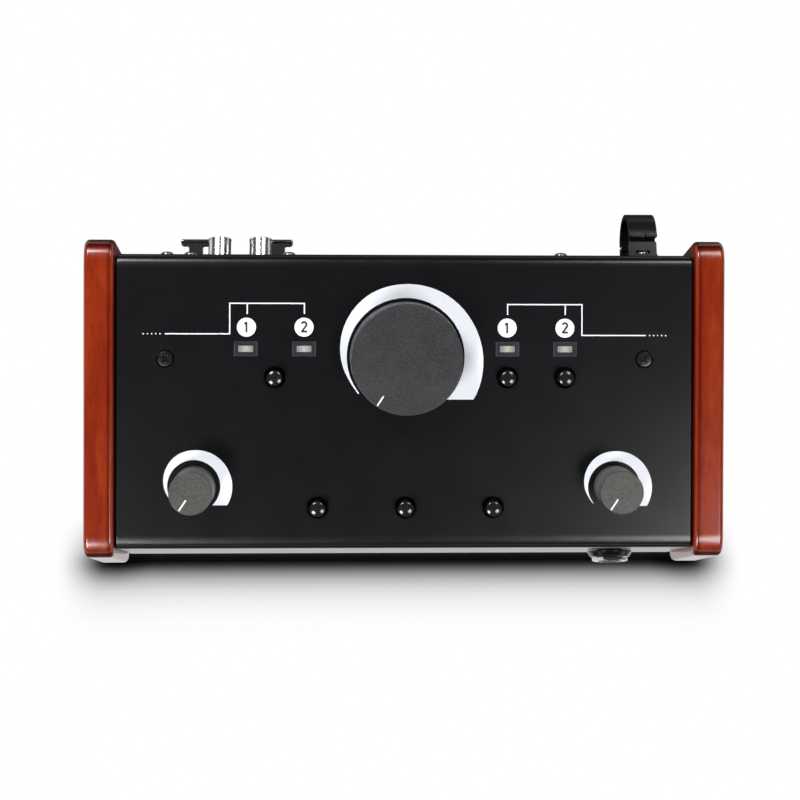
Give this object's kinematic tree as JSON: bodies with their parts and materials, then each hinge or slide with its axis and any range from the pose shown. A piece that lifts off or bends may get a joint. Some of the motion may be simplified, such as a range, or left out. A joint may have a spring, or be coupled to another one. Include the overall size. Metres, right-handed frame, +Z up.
{
  "type": "studio monitor controller",
  "caption": "Wedge-shaped desktop audio controller in a black steel case between wooden cheeks, with volume knobs, push keys, headphone jack, rear sockets and a cable clamp.",
  "frame": {"origin": "table level, under the middle of the whole object", "axes": "+X to the right of someone facing the controls, +Y to the rear, +Z up"},
  "size_m": [0.225, 0.125, 0.079],
  "materials": {
    "lacquered_wood": "gloss lacquer",
    "black_cover": "fine satin coating",
    "black_chassis": "fine satin coating",
    "circuit_board": "solder resist",
    "ribbon": "ribbed",
    "pot_metal": "drawn",
    "shaft_metal": "turned",
    "volume_knob_plastic": "fine grain",
    "small_knob_plastic": "fine grain",
    "button_plastic": "polished",
    "switch_plastic": "moulded",
    "lamp_plastic": "frosted lens in a black housing",
    "socket_plastic": "moulded",
    "bright_metal": "polished",
    "clamp_plastic": "moulded",
    "black_screw": "black oxide",
    "foot_rubber": "matte"
  },
  "bodies": {
    "casing": {"left_cheek": "lacquered_wood", "right_cheek": "lacquered_wood", "top_cover": "black_cover", "chassis": "black_chassis", "control_board": "circuit_board", "main_board": "circuit_board", "ribbon_cable": "ribbon", "volume_pot": "pot_metal", "aux_pot": "pot_metal", "headphone_pot": "pot_metal", "input_select_switch": "switch_plastic", "output_1_switch": "switch_plastic", "output_2_switch": "switch_plastic", "mono_switch": "switch_plastic", "mute_switch": "switch_plastic", "listen_switch": "switch_plastic", "lamp_1": "lamp_plastic", "lamp_2": "lamp_plastic", "lamp_3": "lamp_plastic", "lamp_4": "lamp_plastic", "combo_socket_left": "socket_plastic", "combo_socket_right": "socket_plastic", "output_socket_1": "socket_plastic", "output_socket_2": "socket_plastic", "output_socket_3": "socket_plastic", "output_socket_4": "socket_plastic", "rca_block": "socket_plastic", "dc_inlet": "socket_plastic", "phones_jack": "socket_plastic", "jack_bezel": "socket_plastic", "rca_shell_left": "bright_metal", "rca_shell_right": "bright_metal", "jack_nut": "bright_metal", "clamp_screw": "bright_metal", "clamp_base": "clamp_plastic", "panel_screw_left": "black_screw", "panel_screw_right": "black_screw", "lip_screw_1": "black_screw", "lip_screw_2": "black_screw", "lip_screw_3": "black_screw", "lip_screw_4": "black_screw", "foot_front_left": "foot_rubber", "foot_rear_left": "foot_rubber", "foot_front_right": "foot_rubber", "foot_rear_right": "foot_rubber"},
    "volume_control": {"volume_knob": "volume_knob_plastic", "volume_shaft": "shaft_metal"},
    "aux_control": {"aux_knob": "small_knob_plastic", "aux_shaft": "shaft_metal"},
    "headphone_control": {"headphone_knob": "small_knob_plastic", "headphone_shaft": "shaft_metal"},
    "input_select_key": {"input_select_button": "button_plastic"},
    "output_1_key": {"output_1_button": "button_plastic"},
    "output_2_key": {"output_2_button": "button_plastic"},
    "mono_key": {"mono_button": "button_plastic"},
    "mute_key": {"mute_button": "button_plastic"},
    "listen_key": {"listen_button": "button_plastic"},
    "left_latch": {"latch_left": "bright_metal"},
    "right_latch": {"latch_right": "bright_metal"},
    "clamp_loop": {"clamp_strap": "clamp_plastic"}
  },
  "joints": [
    {"name": "volume_turn", "type": "hinge", "parent": "casing", "child": "volume_control", "pos_m": [0, 0.00688, 0.06065], "axis": [0, 0.2504, -0.9681], "range_deg": [0, 300]},
    {"name": "aux_turn", "type": "hinge", "parent": "casing", "child": "aux_control", "pos_m": [-0.074, -0.03717, 0.04926], "axis": [0, 0.2504, -0.9681], "range_deg": [0, 300]},
    {"name": "headphone_turn", "type": "hinge", "parent": "casing", "child": "headphone_control", "pos_m": [0.074, -0.03717, 0.04926], "axis": [0, 0.2504, -0.9681], "range_deg": [0, 300]},
    {"name": "input_select_press", "type": "slide", "parent": "casing", "child": "input_select_key", "axis": [0, 0.2504, -0.9681], "range_m": [0, 0.002], "stiffness_N_per_m": 300, "springref_m": -0.001},
    {"name": "output_1_press", "type": "slide", "parent": "casing", "child": "output_1_key", "axis": [0, 0.2504, -0.9681], "range_m": [0, 0.002], "stiffness_N_per_m": 300, "springref_m": -0.001},
    {"name": "output_2_press", "type": "slide", "parent": "casing", "child": "output_2_key", "axis": [0, 0.2504, -0.9681], "range_m": [0, 0.002], "stiffness_N_per_m": 300, "springref_m": -0.001},
    {"name": "mono_press", "type": "slide", "parent": "casing", "child": "mono_key", "axis": [0, 0.2504, -0.9681], "range_m": [0, 0.002], "stiffness_N_per_m": 300, "springref_m": -0.001},
    {"name": "mute_press", "type": "slide", "parent": "casing", "child": "mute_key", "axis": [0, 0.2504, -0.9681], "range_m": [0, 0.002], "stiffness_N_per_m": 300, "springref_m": -0.001},
    {"name": "listen_press", "type": "slide", "parent": "casing", "child": "listen_key", "axis": [0, 0.2504, -0.9681], "range_m": [0, 0.002], "stiffness_N_per_m": 300, "springref_m": -0.001},
    {"name": "left_latch_press", "type": "hinge", "parent": "casing", "child": "left_latch", "pos_m": [-0.07583, 0.04381, 0.04584], "axis": [-1, 0, 0], "range_deg": [0, 6], "stiffness_Nm_per_rad": 0.3, "springref_deg": -2.86},
    {"name": "right_latch_press", "type": "hinge", "parent": "casing", "child": "right_latch", "pos_m": [-0.04597, 0.04381, 0.04584], "axis": [-1, 0, 0], "range_deg": [0, 6], "stiffness_Nm_per_rad": 0.3, "springref_deg": -2.86},
    {"name": "clamp_loop_open", "type": "hinge", "parent": "casing", "child": "clamp_loop", "pos_m": [0.08619, 0.05231, 0.03854], "axis": [-1, 0, 0], "range_deg": [0, 75]}
  ]
}
